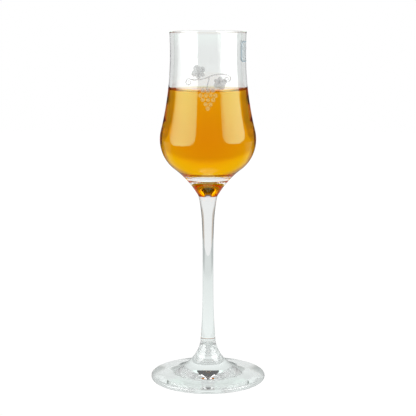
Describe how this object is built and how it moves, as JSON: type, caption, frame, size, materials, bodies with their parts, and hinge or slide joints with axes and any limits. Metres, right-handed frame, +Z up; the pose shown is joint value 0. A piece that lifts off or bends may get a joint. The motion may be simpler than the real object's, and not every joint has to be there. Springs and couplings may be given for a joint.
{
  "type": "grappa glass",
  "caption": "Slender stemmed tulip glass for grappa, with a clear blown bowl, drawn stem and round pressed foot, holding amber spirit, with a blank film sticker on the neck.",
  "frame": {"origin": "on the axis of the glass, in the plane that the foot rests on", "axes": "+Z up along the axis towards the lip, -Y towards the viewer of the front, +X to the right"},
  "size_m": [0.06, 0.06, 0.182],
  "materials": {
    "clear_glass": "clear fire-polished soda glass with a faint grey-green tint",
    "amber_spirit": "clear amber liquid with a mirror-smooth surface",
    "pale_film": "thin see-through pale blue film, blank"
  },
  "bodies": {
    "root": {"bowl": "clear_glass", "stem": "clear_glass", "foot": "clear_glass", "spirit": "amber_spirit", "sticker": "pale_film"}
  },
  "joints": []
}
